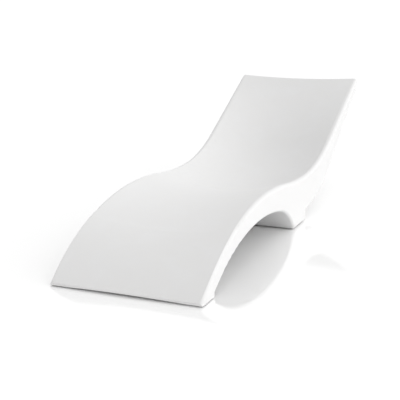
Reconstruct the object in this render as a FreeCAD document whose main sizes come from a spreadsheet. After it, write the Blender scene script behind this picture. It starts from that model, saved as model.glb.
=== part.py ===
import FreeCAD, Part
import Sketcher
import math
import os
from FreeCAD import Placement, Rotation, Vector

# Driving sizes in millimetres and degrees. Lengths run back from the foot edge, heights up from the floor.
SIZES = {
    "leg_length": 690,
    "thigh_length": 490,
    "back_length": 830,
    "overall_width": 650,
    "seat_height": 212,
    "knee_rise": 40,
    "head_height": 540,
    "head_edge": 54,
    "toe_dish": 2,
    "knee_dish": 44,
    "seat_dish": 72,
    "head_dish": 10,
    "rim_land": 4,
    "wall": 5,
    "rim_wall": 10,
    "toe_wall": 30,
    "ground_gap": 4,
    "foot_lip": 10,
    "foot_length": 106,
    "foot_relief": 4,
    "foot_relief_width": 520,
    "instep_lip": 8,
    "shin_angle": 18,
    "shin_easing": 5.4,
    "knee_radius": 1240,
    "knee_flattening": 510,
    "seat_radius": 800,
    "back_under_radius": 680,
    "heel_lead": 18,
    "heel_height": 52,
    "heel_slope": 2,
    "base_length": 160,
    "arch_lead": 90,
    "arch_height": 160,
    "crown_radius": 940,
    "arch_rear_radius": 260,
    "rim_round": 15,
    "dish_overrun": 20,
    "under_round": 12,
    "cross_round": 6,
    "pad_diameter": 34,
    "pad_seat_depth": 5,
    "pad_side_inset": 42,
    "pad_screw_well": 5,
    "pad_well_diameter": 14,
    "screw_diameter": 5,
    "screw_length": 15,
    "screw_head_diameter": 9.5,
    "screw_head_height": 3,
    "screw_socket_width": 4,
    "screw_socket_depth": 2,
    "washer_diameter": 12,
    "washer_thickness": 1,
    "insert_diameter": 8.4,
    "insert_length": 12,
    "fill_port_setback": 170,
    "fill_bore": 26,
    "fill_collar_diameter": 34,
    "fill_collar_length": 20,
    "fill_flange_diameter": 48,
    "fill_flange_thickness": 4,
    "fill_head_diameter": 44,
    "fill_head_height": 8,
    "fill_shank_length": 18,
    "fill_seal_diameter": 38,
    "fill_seal_thickness": 2,
    "fill_slot_width": 5,
    "fill_slot_depth": 4,
    "drain_bore": 14,
    "drain_collar_diameter": 20,
    "drain_collar_length": 16,
    "drain_flange_diameter": 30,
    "drain_flange_thickness": 3,
    "drain_head_diameter": 26,
    "drain_head_height": 6,
    "drain_shank_length": 14,
    "drain_seal_diameter": 23,
    "drain_seal_thickness": 1.6,
    "drain_slot_width": 4,
    "drain_slot_depth": 3,
    "moulded_clearance": 0.05,
    "running_clearance": 0.3,
}
GRIP_COUNT = 16

doc = FreeCAD.newDocument("chaise_longue")
sheet = doc.addObject("Spreadsheet::Sheet", "Sizes")
for row, (name, value) in enumerate(SIZES.items(), start=1):
    sheet.set(f"A{row}", name)
    sheet.set(f"B{row}", str(value))
    sheet.setAlias(f"B{row}", name)
doc.recompute()


class Measure:
    """A number together with the sheet formula that it follows."""

    def __init__(self, value, formula):
        self.value = value
        self.formula = formula

    def joined(self, other, sign, value):
        text = other.formula if isinstance(other, Measure) else str(other)
        return Measure(value, f"({self.formula} {sign} {text})")

    def __add__(self, other):
        return self.joined(other, "+", self.value + number(other))

    def __sub__(self, other):
        return self.joined(other, "-", self.value - number(other))

    def __mul__(self, other):
        return self.joined(other, "*", self.value * number(other))

    def __truediv__(self, other):
        return self.joined(other, "/", self.value / number(other))

    def __neg__(self):
        return Measure(-self.value, f"(0 - {self.formula})")


def number(item):
    return item.value if isinstance(item, Measure) else float(item)


def size(name):
    return Measure(float(getattr(sheet, name)), f"Sizes.{name}")


ZERO = Measure(0.0, "0")


def origin_feature(body, role):
    return next(item for item in body.Origin.OriginFeatures if item.Role == role)


def place(item, x=ZERO, y=ZERO, z=ZERO, turn=ZERO):
    """Puts an item at a point of the part's frame, turned about the width axis and tied to the sheet."""
    item.Placement = Placement(Vector(x.value, y.value, z.value), Rotation(Vector(1, 0, 0), turn.value))
    for path, measure in (("Base.x", x), ("Base.y", y), ("Base.z", z), ("Rotation.Angle", turn)):
        item.setExpression(f"Placement.{path}", measure.formula)


def sine(measure):
    return Measure(math.sin(math.radians(measure.value)), f"sin({measure.formula} * 1 deg)")


def cosine(measure):
    return Measure(math.cos(math.radians(measure.value)), f"cos({measure.formula} * 1 deg)")


# Places along the length, back from the foot edge.
KNEE = size("leg_length")
SEAT = KNEE + size("thigh_length")
LENGTH = SEAT + size("back_length")
HEEL = SEAT - size("heel_lead")
BASE = HEEL - size("base_length")
ARCH = KNEE - size("arch_lead")
NAPE = size("head_height") - size("head_edge")

# The part's origin lies on the floor, midway along the length and the width.
FOOT_EDGE = -(LENGTH / 2)


class Outline:
    """A closed sketch outline of lines and arcs, drawn edge after edge and tied to the sheet."""

    def __init__(self, body, name, role):
        self.sketch = body.newObject("Sketcher::SketchObject", name)
        self.sketch.AttachmentSupport = (origin_feature(body, role), "")
        self.sketch.MapMode = "FlatFace"
        self.edges = {}

    def line(self, name, start, end):
        made = self.sketch.addGeometry(Part.LineSegment(Vector(*start, 0), Vector(*end, 0)), False)
        self.edges[name] = (made, 1, 2)

    def arc(self, name, centre, radius, start, end, turns_left):
        first, last = (start, end) if turns_left else (end, start)
        angles = [math.atan2(point[1] - centre[1], point[0] - centre[0]) for point in (first, last)]
        circle = Part.Circle(Vector(*centre, 0), Vector(0, 0, 1), radius)
        made = self.sketch.addGeometry(Part.ArcOfCircle(circle, *angles), False)
        self.edges[name] = (made, 1, 2) if turns_left else (made, 2, 1)

    def close(self, smooth=()):
        """Joins each edge's end to the next edge's start, tangent after the edges named as smooth."""
        names = list(self.edges)
        for first, second in zip(names, names[1:] + names[:1]):
            kind = "Tangent" if first in smooth else "Coincident"
            ends = self.edges[first][0], self.edges[first][2], self.edges[second][0], self.edges[second][1]
            self.sketch.addConstraint(Sketcher.Constraint(kind, *ends))

    def straight(self, kind, *names):
        for name in names:
            self.sketch.addConstraint(Sketcher.Constraint(kind, self.edges[name][0]))

    def tie(self, kind, items, measure):
        made = self.sketch.addConstraint(Sketcher.Constraint(kind, *items, measure.value))
        self.sketch.setExpression(f"Constraints[{made}]", measure.formula)

    def note(self, label, kind, items):
        """A measured value of the drawn outline, named for another outline to follow."""
        made = self.sketch.addConstraint(Sketcher.Constraint(kind, *items, 1.0))
        self.sketch.setDriving(made, False)
        self.sketch.renameConstraint(made, label)

    def measured(self, label):
        return self.sketch.getDatum(label).Value

    def equal(self, first, second):
        pair = self.edges[first][0], self.edges[second][0]
        self.sketch.addConstraint(Sketcher.Constraint("Equal", *pair))

    def passing_point(self, name, across, up):
        """A place between an edge's ends that the edge passes through."""
        made = self.sketch.addGeometry(Part.Point(Vector(across.value, up.value, 0)), True)
        self.sketch.addConstraint(Sketcher.Constraint("PointOnObject", made, 1, self.edges[name][0]))
        self.tie("DistanceX", (-1, 1, made, 1), across)
        self.tie("DistanceY", (-1, 1, made, 1), up)

    def noted(self, label, kind, value):
        unit = "deg" if kind == "Angle" else "mm"
        return Measure(value, f"({self.sketch.Name}.Constraints.{label} / (1 {unit}))")

    def across(self, name, measure, point="start"):
        self.tie("DistanceX", (-1, 1, self.edges[name][0], self.point(name, point)), measure)

    def up(self, name, measure, point="start"):
        self.tie("DistanceY", (-1, 1, self.edges[name][0], self.point(name, point)), measure)

    def radius(self, name, measure):
        self.tie("Radius", (self.edges[name][0],), measure)

    def point(self, name, point):
        return {"start": self.edges[name][1], "end": self.edges[name][2], "centre": 3}[point]

    def polygon(self, corners):
        """A closed run of straight edges through corners whose places are measures."""
        names = [f"edge{place}" for place in range(len(corners))]
        for place, name in enumerate(names):
            start, end = corners[place], corners[(place + 1) % len(corners)]
            self.line(name, (number(start[0]), number(start[1])), (number(end[0]), number(end[1])))
        self.close()
        for name, (across, up) in zip(names, corners):
            self.across(name, across)
            self.up(name, up)


def meeting_point(centre_a, radius_a, centre_b, radius_b, side):
    """One of the two points where two circles meet; side +1 is to the left of the way from a to b."""
    gap = math.dist(centre_a, centre_b)
    reach = (radius_a ** 2 - radius_b ** 2 + gap ** 2) / (2 * gap)
    rise = side * math.sqrt(radius_a ** 2 - reach ** 2)
    ahead = ((centre_b[0] - centre_a[0]) / gap, (centre_b[1] - centre_a[1]) / gap)
    across = centre_a[0] + reach * ahead[0] - rise * ahead[1]
    return (across, centre_a[1] + reach * ahead[1] + rise * ahead[0])


def at_angle(centre, radius, angle):
    return (centre[0] + radius * math.cos(angle), centre[1] + radius * math.sin(angle))


def angle_to(centre, point):
    return math.atan2(point[1] - centre[1], point[0] - centre[0])


def tangent_turn(centre, radius, point):
    """The direction from a centre to the place below where a line from a point touches the circle."""
    return angle_to(centre, point) - math.acos(radius / math.dist(centre, point))


def at_across(centre, radius, across, side):
    """The point of a circle at a given length, on its upper side (+1) or its lower side (-1)."""
    return (across, centre[1] + side * math.sqrt(radius ** 2 - (across - centre[0]) ** 2))


def at_up(centre, radius, up, side):
    """The point of a circle at a given height, on its far side (+1) or its near side (-1)."""
    return (centre[0] + side * math.sqrt(radius ** 2 - (up - centre[1]) ** 2), up)


class SeatLine:
    """The upper outline of a lengthwise plane, from the toe over knee and seat to the head.

    The share says how much of the dish the plane has: all in the middle, none at the rims.
    """

    def __init__(self, share):
        self.toe_height = size("ground_gap") + size("foot_lip") - size("toe_dish") * share
        self.seat_height = size("seat_height") - size("seat_dish") * share
        self.knee_height = size("seat_height") + size("knee_rise") - size("knee_dish") * share
        self.head_height = size("head_height") - size("head_dish") * share
        self.knee_round = size("knee_radius") + size("knee_flattening") * share
        shin_angle = size("shin_angle") - size("shin_easing") * share
        self.shin = KNEE - self.knee_round * sine(shin_angle)
        knee_height, seat_height = self.knee_height.value, self.seat_height.value
        self.knee_radius, self.seat_radius = self.knee_round.value, size("seat_radius").value
        self.knee = (KNEE.value, knee_height - self.knee_radius)
        self.seat = (SEAT.value, seat_height + self.seat_radius)
        self.shin_turn = math.radians(90 + shin_angle.value)
        shin_end = at_angle(self.knee, self.knee_radius, self.shin_turn)
        rise = (shin_end[0], shin_end[1] - self.toe_height.value)
        bulge = rise[0] * math.cos(self.shin_turn) + rise[1] * math.sin(self.shin_turn)
        self.leg_radius = math.hypot(*rise) ** 2 / (2 * bulge)
        self.leg = at_angle(shin_end, -self.leg_radius, self.shin_turn)
        span, drop = size("thigh_length").value, knee_height - seat_height
        self.thigh_radius = (span ** 2 + drop ** 2) / (4 * drop)
        self.thigh = (KNEE.value, knee_height - self.thigh_radius)
        self.lap = (SEAT.value, seat_height + self.thigh_radius)
        self.thigh_turn = angle_to(self.thigh, self.lap)
        self.waist_turn = tangent_turn(self.seat, self.seat_radius, (LENGTH.value, self.head_height.value))

    def draw(self, outline, front, end, gap):
        """Adds the edges between two places along the length, lowered into the wall by a gap."""
        toe = at_across(self.leg, self.leg_radius - gap, front, 1)
        shin_end = at_angle(self.knee, self.knee_radius - gap, self.shin_turn)
        knee_top = (KNEE.value, self.knee_height.value - gap)
        thigh_end = at_angle(self.thigh, self.thigh_radius - gap, self.thigh_turn)
        seat_low = (SEAT.value, self.seat_height.value - gap)
        waist = at_angle(self.seat, self.seat_radius + gap, self.waist_turn)
        top = (end, waist[1] - (end - waist[0]) / math.tan(self.waist_turn))
        outline.arc("leg", self.leg, self.leg_radius - gap, toe, shin_end, False)
        outline.arc("knee", self.knee, self.knee_radius - gap, shin_end, knee_top, False)
        outline.arc("thigh", self.thigh, self.thigh_radius - gap, knee_top, thigh_end, False)
        outline.arc("lap", self.lap, self.thigh_radius + gap, thigh_end, seat_low, True)
        outline.arc("seat", self.seat, self.seat_radius + gap, seat_low, waist, True)
        outline.line("back", waist, top)
        return toe, top

    def tie(self, outline, inset):
        """Ties the edges to the sheet, apart from what an inset outline takes from its outer one."""
        for part, across, up in (("thigh", KNEE, self.knee_height), ("seat", SEAT, self.seat_height)):
            outline.across(part, across)
            outline.up(part, up - inset)
            outline.across(part, across, "centre")
        outline.across("knee", KNEE, "centre")
        outline.across("lap", SEAT, "centre")
        outline.radius("knee", self.knee_round - inset)
        outline.radius("seat", size("seat_radius") + inset)

    def tie_free(self, outline):
        """Ties that only an outline without an inset has."""
        outline.across("leg", self.shin, "end")
        outline.equal("thigh", "lap")

    def shared(self, edge):
        """Measures that an inset outline takes from its outer one, with their share of the inset."""
        return {
            "leg_centre": ("DistanceX", (-1, 1, edge["leg"], 3), self.leg[0], 0),
            "leg_radius": ("Radius", (edge["leg"],), self.leg_radius, -1),
            "thigh_radius": ("Radius", (edge["thigh"],), self.thigh_radius, -1),
            "back_slope": ("Angle", (edge["back"],), self.waist_turn + math.pi / 2, 0),
        }


SMOOTH = ("leg", "thigh", "seat", "back_under", "arch_rear")


def shell_outline(body, name, inset=ZERO, outer=None):
    """The lounger's side outline. One with an inset lies that far inside its outer one."""
    outline = Outline(body, name, "YZ_Plane")
    seat_line = SeatLine(ZERO)
    floor = size("ground_gap")
    foot_floor = floor + inset + size("foot_relief") if outer else floor
    toe_wall = size("toe_wall") if outer else ZERO
    instep_height = floor + size("instep_lip")
    under_across = HEEL - size("back_under_radius") * sine(size("heel_slope"))
    gap = inset.value

    under_radius, heel_turn = size("back_under_radius").value, math.radians(90 + size("heel_slope").value)
    under = at_angle((HEEL.value, size("heel_height").value), under_radius, heel_turn)
    spine_turn = tangent_turn(under, under_radius, (LENGTH.value, NAPE.value))
    crown_radius, rear_radius = size("crown_radius").value, size("arch_rear_radius").value
    crown = (ARCH.value, size("arch_height").value - crown_radius)
    rear = meeting_point((BASE.value, floor.value), rear_radius, crown, crown_radius - rear_radius, -1)
    reach, fall = ARCH.value - size("foot_length").value, (size("arch_height") - instep_height).value
    arch_radius = (reach ** 2 + fall ** 2) / (2 * fall)
    arch = (ARCH.value, size("arch_height").value - arch_radius)

    end, ground = LENGTH.value - gap, floor.value + gap
    spine = at_angle(under, under_radius - gap, spine_turn)
    tail = (end, spine[1] - (end - spine[0]) / math.tan(spine_turn))
    heel_top = at_across(under, under_radius - gap, HEEL.value - gap, -1)
    base_rear = (heel_top[0], ground)
    base_front = at_up(rear, rear_radius + gap, ground, 1)
    vault = at_angle(crown, crown_radius + gap, angle_to(crown, rear))
    crown_top = (ARCH.value, size("arch_height").value + gap)
    foot_inside = at_up(arch, arch_radius + gap, foot_floor.value, -1)

    toe, top = seat_line.draw(outline, toe_wall.value, end, gap)
    outline.line("head", top, tail)
    outline.line("back_under", tail, spine)
    outline.arc("seat_under", under, under_radius - gap, spine, heel_top, False)
    outline.line("heel", heel_top, base_rear)
    outline.line("base", base_rear, base_front)
    outline.arc("arch_rear", rear, rear_radius + gap, base_front, vault, True)
    outline.arc("crown", crown, crown_radius + gap, vault, crown_top, True)
    if outer:
        outline.arc("arch", arch, arch_radius + gap, crown_top, foot_inside, True)
    else:
        instep = (size("foot_length").value, instep_height.value)
        foot_inside = (instep[0], floor.value)
        outline.arc("arch", arch, arch_radius, crown_top, instep, True)
        outline.line("instep", instep, foot_inside)
        outline.straight("Vertical", "instep")
    outline.line("foot", foot_inside, (toe[0], foot_floor.value))
    outline.line("lip", (toe[0], foot_floor.value), toe)
    outline.close(smooth=SMOOTH)
    outline.straight("Vertical", "lip", "head", "heel")
    outline.straight("Horizontal", "base", "foot")

    seat_line.tie(outline, inset)
    outline.across("lip", toe_wall)
    outline.up("lip", foot_floor)
    outline.across("head", LENGTH - inset)
    outline.across("heel", HEEL - inset)
    outline.up("base", floor + inset)
    outline.across("arch", ARCH)
    outline.up("arch", size("arch_height") + inset)
    for part, across in (("arch", ARCH), ("crown", ARCH), ("seat_under", under_across)):
        outline.across(part, across, "centre")
    outline.radius("seat_under", size("back_under_radius") - inset)
    outline.radius("crown", size("crown_radius") + inset)
    outline.radius("arch_rear", size("arch_rear_radius") + inset)

    edge = {part: numbers[0] for part, numbers in outline.edges.items()}
    shared = seat_line.shared(edge)
    shared["under_slope"] = ("Angle", (edge["back_under"],), spine_turn - math.pi / 2, 0)
    shared["under_height"] = ("DistanceY", (-1, 1, edge["seat_under"], 3), under[1], 0)
    shared["rear_centre"] = ("DistanceX", (-1, 1, edge["arch_rear"], 3), rear[0], 0)
    shared["arch_radius"] = ("Radius", (edge["arch"],), arch_radius, 1)
    if outer:
        for label, (kind, items, value, share) in shared.items():
            outline.tie(kind, items, outer.noted(label, kind, value) + inset * share)
        return outline
    seat_line.tie_free(outline)
    outline.up("lip", seat_line.toe_height, "end")
    outline.up("head", seat_line.head_height)
    outline.up("head", NAPE, "end")
    outline.up("heel", size("heel_height"))
    outline.across("arch_rear", BASE)
    outline.across("instep", size("foot_length"))
    outline.up("instep", instep_height)
    for label, (kind, items, value, share) in shared.items():
        outline.note(label, kind, items)
    return outline


def shell_form(name, inset=ZERO, side_inset=ZERO, outer=None):
    """The side outline carried straight across the width, less an inset on both sides."""
    body = doc.addObject("PartDesign::Body", name)
    outline = shell_outline(body, f"{name}_outline", inset, outer)
    half = size("overall_width") / 2 - side_inset
    outline.sketch.AttachmentOffset = Placement(Vector(0, 0, -half.value), Rotation())
    outline.sketch.setExpression("AttachmentOffset.Base.z", (-half).formula)
    doc.recompute()
    pad = body.newObject("PartDesign::Pad", f"{name}_pad")
    pad.Profile = outline.sketch
    pad.Length = (half * 2).value
    pad.setExpression("Length", (half * 2).formula)
    doc.recompute()
    place(body, y=FOOT_EDGE)
    return body, outline


def dish_outline(body, name, share):
    """The space over the seat in one lengthwise plane, running past the toe, the head and the rims."""
    outline = Outline(body, name, "YZ_Plane")
    seat_line = SeatLine(share)
    reach = size("dish_overrun")
    front, end, roof = -reach, LENGTH + reach, size("head_height") + reach
    toe, top = seat_line.draw(outline, front.value, end.value, 0.0)
    outline.line("rear_wall", top, (end.value, roof.value))
    outline.line("roof", (end.value, roof.value), (front.value, roof.value))
    outline.line("front_wall", (front.value, roof.value), toe)
    outline.close(smooth=SMOOTH)
    outline.straight("Vertical", "rear_wall", "front_wall")
    outline.straight("Horizontal", "roof")
    seat_line.tie(outline, ZERO)
    seat_line.tie_free(outline)
    outline.across("front_wall", front)
    outline.across("roof", end)
    outline.up("roof", roof)
    outline.passing_point("leg", ZERO, seat_line.toe_height)
    outline.passing_point("back", LENGTH, seat_line.head_height)
    return outline


def dish_form(name, lowered):
    """The space over the dished seat, lofted from rim to rim, lowered by the wall for the hollow."""
    body = doc.addObject("PartDesign::Body", name)
    half = size("overall_width") / 2
    rim = half - size("rim_round") - size("rim_land")
    reach = half + size("dish_overrun")
    side_share = -((reach / rim) * (reach / rim) - 1)
    outlines = []
    planes = (("right", 1, side_share), ("middle", 0, ZERO + 1), ("left", -1, side_share))
    for plane, side, share in planes:
        outline = dish_outline(body, f"{name}_{plane}", share)
        offset = reach * side
        outline.sketch.AttachmentOffset = Placement(Vector(0, 0, offset.value), Rotation())
        outline.sketch.setExpression("AttachmentOffset.Base.z", offset.formula)
        outlines.append(outline)
    doc.recompute()
    loft = body.newObject("PartDesign::AdditiveLoft", f"{name}_loft")
    for run in (outlines, outlines[::-1]):
        loft.Profile = run[0].sketch
        loft.Sections = [outline.sketch for outline in run[1:]]
        doc.recompute()
        if body.Shape.Volume > 0:
            break
    place(body, y=FOOT_EDGE, z=-lowered)
    return body


RIM = ("leg", "knee", "thigh", "lap", "seat", "back", "head")
UNDERSIDE = ("back_under", "seat_under", "heel", "base", "arch_rear", "crown", "arch")
CROSS_CORNERS = ("back_under", "heel", "base", "arch_rear")


def edge_through(shape, point):
    """The number of the edge of a shape that passes through a point."""
    vertex = Part.Vertex(point)
    return min(range(len(shape.Edges)), key=lambda place: shape.Edges[place].distToShape(vertex)[0]) + 1


def rounded(name, body, outline):
    """The form with its long edges rounded on both sides and its lower cross edges softened."""
    doc.recompute()
    shape = body.Shape
    edges = []
    half = size("overall_width").value / 2
    for part in RIM + UNDERSIDE:
        curve = outline.sketch.Geometry[outline.edges[part][0]]
        middle = curve.value((curve.FirstParameter + curve.LastParameter) / 2)
        radius = size("rim_round" if part in RIM else "under_round").value
        for across in (-half, half):
            found = edge_through(shape, Vector(across, middle.x + FOOT_EDGE.value, middle.y))
            edges.append((found, radius, radius))
    for part in CROSS_CORNERS:
        corner = outline.sketch.getPoint(*outline.edges[part][:2])
        found = edge_through(shape, Vector(0, corner.x + FOOT_EDGE.value, corner.y))
        edges.append((found, size("cross_round").value, size("cross_round").value))
    fillet = doc.addObject("Part::Fillet", name)
    fillet.Base = body
    fillet.Edges = edges
    return fillet


def turned(name, corners):
    """A body turned about its own upright axis from corners given as radius and height."""
    body = doc.addObject("PartDesign::Body", name)
    outline = Outline(body, f"{name}_section", "XZ_Plane")
    outline.polygon(corners)
    turn = body.newObject("PartDesign::Revolution", f"{name}_turn")
    turn.Profile = outline.sketch
    turn.ReferenceAxis = (outline.sketch, ["V_Axis"])
    turn.Angle = 360
    return body


def boolean(kind, name, base, tool):
    item = doc.addObject(kind, name)
    item.Base = base
    item.Tool = tool
    return item


def joined(name, items):
    item = doc.addObject("Part::MultiFuse", name)
    item.Shapes = items
    return item


def group(name, items):
    item = doc.addObject("Part::Compound", name)
    item.Links = items
    return item


def pocket(body, name, outline, level, depth, upwards=False):
    """A straight-sided hollow cut from a level of a body downwards, or upwards."""
    outline.sketch.AttachmentOffset = Placement(Vector(0, 0, level.value), Rotation())
    outline.sketch.setExpression("AttachmentOffset.Base.z", level.formula)
    doc.recompute()
    made = body.newObject("PartDesign::Pocket", name)
    made.Profile = outline.sketch
    made.Reversed = upwards
    made.Length = depth.value
    made.setExpression("Length", depth.formula)
    doc.recompute()
    return made


class Port:
    """A threaded port: a boss and a stepped hole in the shell, a collar, a screw plug and its seal.

    Heights are measured outwards from the shell's outer face along the port's axis.
    """

    def __init__(self, kind, y, z, turn):
        self.kind = kind
        self.spot = {"y": y, "z": z, "turn": turn}
        self.bore = size(f"{kind}_bore") / 2
        self.collar = size(f"{kind}_collar_diameter") / 2
        self.collar_length = size(f"{kind}_collar_length")
        self.flange = size(f"{kind}_flange_diameter") / 2
        self.flange_thickness = size(f"{kind}_flange_thickness")

    def at_port(self, body):
        place(body, **self.spot)
        return body

    def boss(self):
        """The thicker wall round the collar, reaching into the hollow."""
        wall = size("wall")
        step, depth = -(self.flange_thickness + wall), -(self.collar_length + ZERO)
        corners = [(ZERO, depth), (self.collar + wall, depth), (self.collar + wall, step),
                   (self.flange + wall, step), (self.flange + wall, wall), (ZERO, wall)]
        return self.at_port(turned(f"{self.kind}_port_boss", corners))

    def hole(self):
        """The stepped hole that takes the collar, open to the hollow."""
        wall, room = size("wall"), size("moulded_clearance")
        depth, step = -(self.collar_length + wall), -(self.flange_thickness + ZERO)
        corners = [(ZERO, depth), (self.collar + room, depth), (self.collar + room, step),
                   (self.flange + room, step), (self.flange + room, wall * 2), (ZERO, wall * 2)]
        return self.at_port(turned(f"{self.kind}_port_hole", corners))

    def insert(self):
        bore = self.bore + size("running_clearance")
        depth, step = -(self.collar_length + ZERO), -(self.flange_thickness + ZERO)
        corners = [(bore, depth), (self.collar, depth), (self.collar, step),
                   (self.flange, step), (self.flange, ZERO), (bore, ZERO)]
        return self.at_port(turned(f"{self.kind}_port_insert", corners))

    def seal(self):
        inside = self.bore + size("running_clearance")
        outside, thickness = size(f"{self.kind}_seal_diameter") / 2, size(f"{self.kind}_seal_thickness")
        corners = [(inside, ZERO), (outside, ZERO), (outside, thickness), (inside, thickness)]
        return self.at_port(turned(f"{self.kind}_plug_seal", corners))

    def plug(self):
        """A headed shank with a coin slot across the head and finger grips round it."""
        name = f"{self.kind}_plug"
        head, height = size(f"{self.kind}_head_diameter") / 2, size(f"{self.kind}_head_height")
        under, slot = size(f"{self.kind}_seal_thickness"), size(f"{self.kind}_slot_width") / 2
        top, tip = under + height, -(size(f"{self.kind}_shank_length") - under)
        edge = slot / 2
        corners = [(ZERO, tip), (self.bore - edge, tip), (self.bore, tip + edge), (self.bore, under),
                   (head, under), (head, top - edge), (head - edge, top), (ZERO, top)]
        body = turned(name, corners)
        cut = Outline(body, f"{name}_slot_outline", "XY_Plane")
        cut.polygon([(-head, -slot), (head + ZERO, -slot), (head + ZERO, slot + ZERO), (-head, slot + ZERO)])
        pocket(body, f"{name}_slot", cut, top, size(f"{self.kind}_slot_depth"))
        grip = Outline(body, f"{name}_grip_outline", "XY_Plane")
        circle = Part.Circle(Vector(head.value, 0, 0), Vector(0, 0, 1), slot.value)
        made = grip.sketch.addGeometry(circle, False)
        grip.edges["grip"] = (made, 3, 3)
        grip.across("grip", head, "centre")
        grip.sketch.addConstraint(Sketcher.Constraint("PointOnObject", made, 3, -1))
        grip.radius("grip", slot)
        first = pocket(body, f"{name}_grip", grip, top, height)
        pattern = body.newObject("PartDesign::PolarPattern", f"{name}_grips")
        pattern.Originals = [first]
        pattern.Axis = (origin_feature(body, "Z_Axis"), [""])
        pattern.Angle = 360
        pattern.Occurrences = GRIP_COUNT
        body.Tip = pattern
        return self.at_port(body)


# The outer form, dished between its rims and hollowed under the toe so that it stands on its pads.
outer_body, outer_outline = shell_form("shell_outside")
outer_round = rounded("shell_outside_rounded", outer_body, outer_outline)
dish = dish_form("seat_dish_form", ZERO)
outer_dished = boolean("Part::Cut", "shell_outside_dished", outer_round, dish)
relief_half = size("foot_relief_width") / 2
relief_radius = (relief_half * relief_half / size("foot_relief") + size("foot_relief")) / 2
relief = doc.addObject("Part::Cylinder", "foot_relief_form")
relief.setExpression("Radius", relief_radius.formula)
relief.setExpression("Height", (size("foot_length") * 2).formula)
place(relief, y=FOOT_EDGE - size("foot_length") / 2,
      z=size("ground_gap") + size("foot_relief") - relief_radius, turn=ZERO - 90)
shell_outer = boolean("Part::Cut", "shell_outer", outer_dished, relief)

# The hollow, a wall's thickness inside the outer form.
inner_body = shell_form("shell_inside", size("wall"), size("rim_wall"), outer_outline)[0]
hollow = boolean("Part::Cut", "shell_hollow", inner_body, dish_form("hollow_dish_form", size("wall")))
walls = boolean("Part::Cut", "shell_walls", shell_outer, hollow)

# The filling port lies square to the underside of the back, the drain square to the middle of the heel.
down_back = outer_outline.noted("under_slope", "Angle", math.degrees(outer_outline.measured("under_slope")))
reach = size("fill_port_setback")
fill = Port("fill", LENGTH / 2 + reach * cosine(down_back), NAPE + reach * sine(down_back), down_back)
drain = Port("drain", FOOT_EDGE + HEEL, (size("ground_gap") + size("heel_height")) / 2, ZERO - 90)
ports = (fill, drain)

# Foot pads, each in a flat seat under the shell and held by a screw in a moulded-in insert.
PAD_SEAT = size("ground_gap") + size("pad_seat_depth")
WELL = size("pad_screw_well")
FRONT_PAD = FOOT_EDGE + size("foot_length") / 2
REAR_PAD = FOOT_EDGE + HEEL - size("base_length") / 2
CORNERS = [("front_left", -1, FRONT_PAD), ("front_right", 1, FRONT_PAD),
           ("rear_left", -1, REAR_PAD), ("rear_right", 1, REAR_PAD)]


def pad_piece(name, side, position, corners):
    body = turned(name, corners)
    across = (size("overall_width") / 2 - size("pad_side_inset")) * side
    place(body, x=across, y=position)
    return body


pad = size("pad_diameter") / 2
well = size("pad_well_diameter") / 2
shank = size("screw_diameter") / 2
insert = size("insert_diameter") / 2
wall, room, running = size("wall"), size("moulded_clearance"), size("running_clearance")
insert_top = PAD_SEAT + size("insert_length")
washer_bottom = WELL - size("washer_thickness")
head_bottom = washer_bottom - size("screw_head_height")
head_radius = size("screw_head_diameter") / 2
screw_top = washer_bottom + size("screw_length")
PAD_PIECES = {
    "boss": [(ZERO, ZERO), (pad + wall, ZERO), (pad + wall, PAD_SEAT + wall), (insert + wall, PAD_SEAT + wall),
             (insert + wall, insert_top + wall), (ZERO, insert_top + wall)],
    "seat": [(ZERO, -wall), (pad + running, -wall), (pad + running, PAD_SEAT), (insert + room, PAD_SEAT),
             (insert + room, insert_top), (ZERO, insert_top)],
    "foot_pad": [(shank + running, WELL), (well, WELL), (well, ZERO), (pad, ZERO), (pad, PAD_SEAT),
                 (shank + running, PAD_SEAT)],
    "insert": [(shank + room, PAD_SEAT), (insert, PAD_SEAT), (insert, insert_top),
               (shank + room, insert_top)],
    "washer": [(shank + running, washer_bottom), (size("washer_diameter") / 2, washer_bottom),
               (size("washer_diameter") / 2, WELL), (shank + running, WELL)],
    "screw": [(ZERO, head_bottom), (head_radius, head_bottom), (head_radius, washer_bottom),
              (shank, washer_bottom), (shank, screw_top), (ZERO, screw_top)],
}
pad_bodies = {
    piece: [pad_piece(f"{corner}_{piece}", side, position, corners) for corner, side, position in CORNERS]
    for piece, corners in PAD_PIECES.items()
}

for body in pad_bodies["screw"]:
    corner = size("screw_socket_width") / math.sqrt(3)
    turns = [corner_number * math.pi / 3 for corner_number in range(6)]
    socket = Outline(body, f"{body.Name}_socket_outline", "XY_Plane")
    socket.polygon([(corner * math.cos(turn), corner * math.sin(turn)) for turn in turns])
    pocket(body, f"{body.Name}_socket", socket, head_bottom, size("screw_socket_depth"), upwards=True)

bosses = boolean("Part::Common", "shell_bosses", shell_outer,
                 joined("boss_forms", pad_bodies["boss"] + [port.boss() for port in ports]))
shell = boolean("Part::Cut", "moulded_shell", joined("shell_with_bosses", [walls, bosses]),
                joined("shell_holes", pad_bodies["seat"] + [port.hole() for port in ports]))

pieces = [shell] + pad_bodies["foot_pad"]
pieces += [group(f"foot_pad_{piece}s", pad_bodies[piece]) for piece in ("insert", "screw", "washer")]
for port in ports:
    pieces += [port.insert(), port.seal(), port.plug()]

for piece in pieces:
    piece.Label = piece.Name
doc.recompute()
for item in doc.Objects:
    if {"Invalid", "Error"} & set(item.State):
        raise RuntimeError(f"{item.Name} did not build: {item.State}")
for piece in pieces:
    if piece.Shape.isNull() or not piece.Shape.isValid():
        raise RuntimeError(f"{piece.Label} has no valid shape")

os.makedirs("parts", exist_ok=True)
for piece in pieces:
    piece.Shape.exportStep(f"parts/{piece.Label}.step")
    print(piece.Label, len(piece.Shape.Solids), round(piece.Shape.Volume / 1000, 2), "cubic centimetres")
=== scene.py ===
import math

import bpy
from mathutils import Euler, Matrix, Vector

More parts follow.
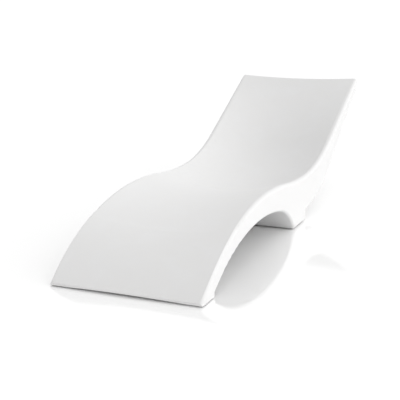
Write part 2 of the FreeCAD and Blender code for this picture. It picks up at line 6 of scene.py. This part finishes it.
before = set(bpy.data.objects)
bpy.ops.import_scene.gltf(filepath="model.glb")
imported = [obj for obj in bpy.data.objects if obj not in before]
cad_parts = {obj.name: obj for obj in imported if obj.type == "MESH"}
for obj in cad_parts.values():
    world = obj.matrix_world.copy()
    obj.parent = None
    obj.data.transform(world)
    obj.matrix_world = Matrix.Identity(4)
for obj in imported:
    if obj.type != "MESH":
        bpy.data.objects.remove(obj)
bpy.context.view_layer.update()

# Places that the finishes follow, in metres: the pads' rows and the two ports with their outward axes.
PAD_ACROSS = 0.283
PAD_ROW_MIDDLE = -0.4375
PAD_ROW_HALF = 0.5145
BACK_SLOPE = math.radians(32.9286)
FILL_PORT = (0.0, 0.862311, 0.393589)
FILL_AXIS = (0.0, math.sin(BACK_SLOPE), -math.cos(BACK_SLOPE))
FILL_PITCH = 0.005
DRAIN_PORT = (0.0, 0.157, 0.028)
DRAIN_AXIS = (0.0, 1.0, 0.0)
DRAIN_PITCH = 0.003

# Depths and heights in the finishes, in metres, and the grain of their marks per metre in each direction.
DUST_FULL = 0.004
DUST_END = 0.040
SINK_WAVE_DEPTH = 0.0016
SKIN_DEPTH = 0.00012
SCUFF_GRAIN = (60.0, 9.0, 60.0)
RUBBER_GRAIN_DEPTH = 0.00008
LATHE_FEED = 0.000349
LATHE_RING_DEPTH = 0.00002
THREAD_END = (-0.0008, -0.0002)
THREAD_DEPTH_SHARE = 0.16
NYLON_GRAIN_DEPTH = 0.00006
SCRATCH_GRAIN = (900.0, 160.0, 160.0)


class Value:
    """A socket whose sums are written as plain expressions."""

    def __init__(self, graph, socket):
        self.graph = graph
        self.socket = socket

    def math(self, operation, first, second=0.0):
        return self.graph.node("ShaderNodeMath", {"operation": operation}, {0: first, 1: second})

    def __add__(self, other):
        return self.math("ADD", self, other)

    def __radd__(self, other):
        return self.math("ADD", other, self)

    def __sub__(self, other):
        return self.math("SUBTRACT", self, other)

    def __rsub__(self, other):
        return self.math("SUBTRACT", other, self)

    def __mul__(self, other):
        return self.math("MULTIPLY", self, other)

    def __rmul__(self, other):
        return self.math("MULTIPLY", other, self)

    def __pow__(self, other):
        return self.math("POWER", self, other)

    def __abs__(self):
        return self.math("ABSOLUTE", self)


class Graph:
    """A node tree that grows by one method."""

    def __init__(self, tree):
        self.tree = tree

    def node(self, kind, settings, sockets, output=0):
        made = self.tree.nodes.new(kind)
        for name, setting in settings.items():
            setattr(made, name, setting)
        for name, value in sockets.items():
            self.feed(made.inputs[name], value)
        return Value(self, made.outputs[output])

    def feed(self, socket, value):
        if isinstance(value, Value):
            self.tree.links.new(value.socket, socket)
        else:
            socket.default_value = value


class Finish(Graph):
    """A material whose surface comes from nodes."""

    def __init__(self, name):
        self.material = bpy.data.materials.new(name)
        self.material.use_nodes = True
        super().__init__(self.material.node_tree)
        self.surface = self.tree.nodes["Principled BSDF"]
        self.place = self.node("ShaderNodeTexCoord", {}, {}, "Object")
        self.facing = self.node("ShaderNodeTexCoord", {}, {}, "Normal")

    def axes(self, vector):
        return [self.node("ShaderNodeSeparateXYZ", {}, {0: vector}, axis) for axis in range(3)]

    def along(self, vector, direction):
        """How far a vector reaches in a direction."""
        sockets = {0: vector, 1: direction}
        return self.node("ShaderNodeVectorMath", {"operation": "DOT_PRODUCT"}, sockets, "Value")

    def noise(self, scale, detail=2.0, roughness=0.5, vector=None):
        sockets = {"Vector": vector or self.place, "Scale": scale, "Detail": detail, "Roughness": roughness}
        return self.node("ShaderNodeTexNoise", {}, sockets)

    def stretched(self, scale):
        return self.node("ShaderNodeVectorMath", {"operation": "MULTIPLY"}, {0: self.place, 1: scale})

    def step(self, value, low, high):
        """0 below the low value, 1 above the high one, smooth between them."""
        sockets = {"Value": value, "From Min": low, "From Max": high}
        return self.node("ShaderNodeMapRange", {"interpolation_type": "SMOOTHSTEP"}, sockets)

    def wave(self, angle):
        return self.node("ShaderNodeMath", {"operation": "SINE"}, {0: angle})

    def blend(self, share, first, second):
        """From the first colour to the second as the share goes from 0 to 1."""
        return self.node("ShaderNodeMix", {"data_type": "RGBA"}, {0: share, 6: first, 7: second}, 2)

    def relief(self, height, distance, strength=1.0, normal=None):
        sockets = {"Height": height, "Distance": distance, "Strength": strength}
        if normal:
            sockets["Normal"] = normal
        return self.node("ShaderNodeBump", {}, sockets)

    def set(self, **sockets):
        for name, value in sockets.items():
            self.feed(self.surface.inputs[name.replace("_", " ")], value)


def shade(level, warmth=0.0):
    """A near-grey colour, warmer or cooler by the given share."""
    return (level * (1 + warmth), level, level * (1 - warmth), 1.0)


def moulded_white():
    """Satin white polyethylene: fine skin from the mould, faint sink waves, rubbed rims and a dusty foot."""
    finish = Finish("moulded_white")
    height = finish.axes(finish.place)[2]
    facing_side, _, facing_up = finish.axes(finish.facing)
    side = abs(facing_side)
    rim = finish.step(side, low=0.10, high=0.45) * (1 - finish.step(side, low=0.80, high=0.98))
    patches = finish.step(finish.noise(9.0, detail=5.0, roughness=0.6), low=0.46, high=0.66)
    rubbed = rim * finish.step(finish.noise(38.0, detail=6.0, roughness=0.65), low=0.45, high=0.70)
    scuffs = finish.noise(1.0, detail=4.0, roughness=0.6, vector=finish.stretched(SCUFF_GRAIN))
    scuffed = finish.step(scuffs, low=0.60, high=0.74) * finish.step(facing_up, low=0.35, high=0.9)
    dusty = 1 - finish.step(height, low=DUST_FULL, high=DUST_END)
    dust = dusty * finish.step(finish.noise(70.0, detail=4.0), low=0.35, high=0.75)
    tone = finish.blend(patches, shade(0.712, warmth=0.003), shade(0.720))
    tone = finish.blend(rubbed * 0.35, tone, shade(0.690, warmth=0.005))
    tone = finish.blend(scuffed * 0.12, tone, shade(0.675, warmth=0.008))
    tone = finish.blend(dust * 0.20, tone, shade(0.600, warmth=0.030))
    skin = finish.noise(900.0, detail=2.0, roughness=0.55)
    cells = finish.node("ShaderNodeTexVoronoi", {}, {"Vector": finish.place, "Scale": 260.0})
    pores = finish.step(cells, low=0.10, high=0.02)
    waves = finish.relief(finish.noise(14.0, detail=1.0), SINK_WAVE_DEPTH, strength=0.35)
    relief = finish.relief(skin - 0.35 * pores, SKIN_DEPTH, strength=0.9, normal=waves)
    roughness = 0.40 + 0.06 * patches + 0.12 * rubbed - 0.07 * scuffed + 0.20 * dust
    finish.set(Base_Color=tone, Roughness=roughness, Normal=relief)
    finish.set(IOR=1.51, Specular_IOR_Level=0.45)
    return finish.material


def rubber(name, level, grain):
    """Matte black rubber with a fine grain, greyed by dust."""
    finish = Finish(name)
    speckle = finish.noise(grain, detail=3.0, roughness=0.6)
    bloom = finish.step(finish.noise(120.0, detail=4.0), low=0.42, high=0.72)
    tone = finish.blend(bloom * 0.5, shade(level), shade(level * 2.4, warmth=0.02))
    relief = finish.relief(speckle, RUBBER_GRAIN_DEPTH, strength=0.8)
    finish.set(Base_Color=tone, Roughness=0.70 + 0.18 * bloom, Normal=relief)
    finish.set(Specular_IOR_Level=0.35)
    return finish.material


def from_pad_axis(finish):
    """Distance from the nearest pad's upright axis."""
    across, along, _ = finish.axes(finish.place)
    aside = abs(across) - PAD_ACROSS
    ahead = abs(along - PAD_ROW_MIDDLE) - PAD_ROW_HALF
    return (aside * aside + ahead * ahead) ** 0.5


def turned_metal(name, colour, dull, roughness):
    """Metal with the rings that a lathe leaves, dulled in patches."""
    finish = Finish(name)
    rings = finish.wave(from_pad_axis(finish) * (math.tau / LATHE_FEED))
    patches = finish.step(finish.noise(420.0, detail=4.0, roughness=0.6), low=0.42, high=0.70)
    finish.set(Base_Color=finish.blend(patches * 0.6, colour, dull), Metallic=1.0)
    finish.set(Roughness=roughness + 0.16 * patches)
    finish.set(Normal=finish.relief(rings, LATHE_RING_DEPTH, strength=0.6))
    return finish.material


def thread(finish, port, axis, pitch):
    """The height of a screw thread that winds about a port's axis, below the shell's face only."""
    offset = finish.node("ShaderNodeVectorMath", {"operation": "SUBTRACT"}, {0: finish.place, 1: port})
    out = finish.along(offset, axis)
    sideways = finish.along(offset, tuple(Vector(axis).cross(Vector((1.0, 0.0, 0.0)))))
    across = finish.axes(offset)[0]
    winding = finish.node("ShaderNodeMath", {"operation": "ARCTAN2"}, {0: across, 1: sideways})
    return finish.wave(out * (math.tau / pitch) + winding) * (1 - finish.step(out, *THREAD_END))


def moulded_nylon(name, level, warmth, port, axis, pitch):
    """Threaded nylon with a spark-eroded skin, rubbed smooth on its edges by fingers and coins."""
    finish = Finish(name)
    grain = finish.noise(1600.0, detail=2.0, roughness=0.6)
    mottle = finish.step(finish.noise(90.0, detail=4.0, roughness=0.6), low=0.40, high=0.68)
    scratches = finish.noise(1.0, detail=3.0, roughness=0.6, vector=finish.stretched(SCRATCH_GRAIN))
    marks = finish.step(scratches, low=0.60, high=0.72)
    tone = finish.blend(mottle, shade(level, warmth), shade(level * 0.94, warmth + 0.008))
    tone = finish.blend(marks * 0.35, tone, shade(level * 0.72, warmth + 0.02))
    crests = finish.relief(thread(finish, port, axis, pitch), pitch * THREAD_DEPTH_SHARE)
    relief = finish.relief(grain, NYLON_GRAIN_DEPTH, strength=0.8, normal=crests)
    finish.set(Base_Color=tone, Roughness=0.42 + 0.12 * mottle - 0.08 * marks, Normal=relief)
    finish.set(IOR=1.53)
    return finish.material


SHELL = moulded_white()
PAD = rubber("pad_rubber", 0.030, 1800.0)
SEAL = rubber("seal_rubber", 0.045, 2600.0)
BRASS = turned_metal("turned_brass", (0.72, 0.52, 0.24, 1.0), (0.46, 0.33, 0.17, 1.0), 0.24)
STEEL = turned_metal("stainless_steel", (0.64, 0.64, 0.63, 1.0), (0.46, 0.46, 0.45, 1.0), 0.26)
FILL_THREAD = (FILL_PORT, FILL_AXIS, FILL_PITCH)
DRAIN_THREAD = (DRAIN_PORT, DRAIN_AXIS, DRAIN_PITCH)
FINISHES = {
    "moulded_shell": SHELL,
    "front_left_foot_pad": PAD,
    "front_right_foot_pad": PAD,
    "rear_left_foot_pad": PAD,
    "rear_right_foot_pad": PAD,
    "foot_pad_inserts": BRASS,
    "foot_pad_screws": STEEL,
    "foot_pad_washers": STEEL,
    "fill_port_insert": moulded_nylon("fill_collar_nylon", 0.72, 0.006, *FILL_THREAD),
    "fill_plug": moulded_nylon("fill_plug_nylon", 0.76, 0.003, *FILL_THREAD),
    "fill_plug_seal": SEAL,
    "drain_port_insert": moulded_nylon("drain_collar_nylon", 0.72, 0.006, *DRAIN_THREAD),
    "drain_plug": moulded_nylon("drain_plug_nylon", 0.76, 0.003, *DRAIN_THREAD),
    "drain_plug_seal": SEAL,
}
for node, finish in FINISHES.items():
    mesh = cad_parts[node].data
    mesh.materials.clear()
    mesh.materials.append(finish)


# The studio: light from the white room and from the lamp, and a polished floor a hair below the pads' faces.
ROOM_LEVEL = 0.66
LAMP_LEVEL = 1.97
LAMP_SPREAD = math.radians(100)
LAMP_SIDE = (0.72, 0.20, 0.66)
WHITE = (1.0, 1.0, 1.0, 1.0)
FLOOR_TONE = 0.97
FLOOR_POLISH = 0.46
FLOOR_BLUR = 0.07
FLOOR_LEVEL = -0.0003
FLOOR_REACH = 60.0

# The photograph's viewpoint: millimetres for the sensor and lens, metres and angles for the rest.
SENSOR_WIDTH = 36.0
LENS = 85.706
VIEW_REACH = 200.0
CAMERA_PLACE = (1.67380, -3.89746, 1.28013)
CAMERA_TURN = math.radians(24.982)
CAMERA_RISE = math.radians(15.388)
CAMERA_TILT = math.radians(-1.617)


def studio_floor():
    """A wide white floor with a thin polish, which keeps the shadows and a faint reflection."""
    mesh = bpy.data.meshes.new("studio_floor")
    sides = [(-1, -1), (1, -1), (1, 1), (-1, 1)]
    corners = [(FLOOR_REACH * x, FLOOR_REACH * y, FLOOR_LEVEL) for x, y in sides]
    mesh.from_pydata(corners, [], [(0, 1, 2, 3)])
    floor = bpy.data.objects.new("studio_floor", mesh)
    bpy.context.scene.collection.objects.link(floor)
    finish = Finish("studio_white")
    finish.set(Base_Color=shade(FLOOR_TONE), Specular_IOR_Level=0.0)
    matte = Value(finish, finish.surface.outputs[0])
    gloss = finish.node("ShaderNodeBsdfGlossy", {}, {"Color": WHITE, "Roughness": FLOOR_BLUR})
    polished = finish.node("ShaderNodeMixShader", {}, {0: FLOOR_POLISH, 1: matte, 2: gloss})
    finish.feed(finish.tree.nodes["Material Output"].inputs["Surface"], polished)
    mesh.materials.append(finish.material)


def studio_light():
    """A white room with one broad soft lamp high on the sitter's right."""
    world = bpy.data.worlds.new("studio_room")
    world.use_nodes = True
    room = Graph(world.node_tree)
    seen = room.node("ShaderNodeLightPath", {}, {}, "Is Camera Ray")
    for ray in ("Is Glossy Ray", "Is Transmission Ray"):
        seen = seen.math("MAXIMUM", seen, room.node("ShaderNodeLightPath", {}, {}, ray))
    background = world.node_tree.nodes["Background"]
    room.feed(background.inputs["Color"], WHITE)
    room.feed(background.inputs["Strength"], ROOM_LEVEL + seen * (1.0 - ROOM_LEVEL))
    bpy.context.scene.world = world
    lamp = bpy.data.lights.new("soft_lamp", "SUN")
    lamp.energy = LAMP_LEVEL
    lamp.angle = LAMP_SPREAD
    holder = bpy.data.objects.new("soft_lamp", lamp)
    holder.rotation_euler = Vector(LAMP_SIDE).to_track_quat("Z", "Y").to_euler()
    bpy.context.scene.collection.objects.link(holder)


def photo_camera():
    """The photograph's viewpoint, with the photograph's own slight tilt."""
    camera = bpy.data.cameras.new("photo_camera")
    camera.sensor_width = SENSOR_WIDTH
    camera.lens = LENS
    camera.clip_end = VIEW_REACH
    holder = bpy.data.objects.new("photo_camera", camera)
    turn = Euler((math.pi / 2 - CAMERA_RISE, 0.0, CAMERA_TURN)).to_matrix()
    tilt = Matrix.Rotation(CAMERA_TILT, 3, "Z")
    holder.matrix_world = Matrix.Translation(CAMERA_PLACE) @ (turn @ tilt).to_4x4()
    bpy.context.scene.collection.objects.link(holder)
    bpy.context.scene.camera = holder


studio_floor()
studio_light()
photo_camera()
bpy.context.scene.view_settings.view_transform = "Standard"

bpy.context.view_layer.update()
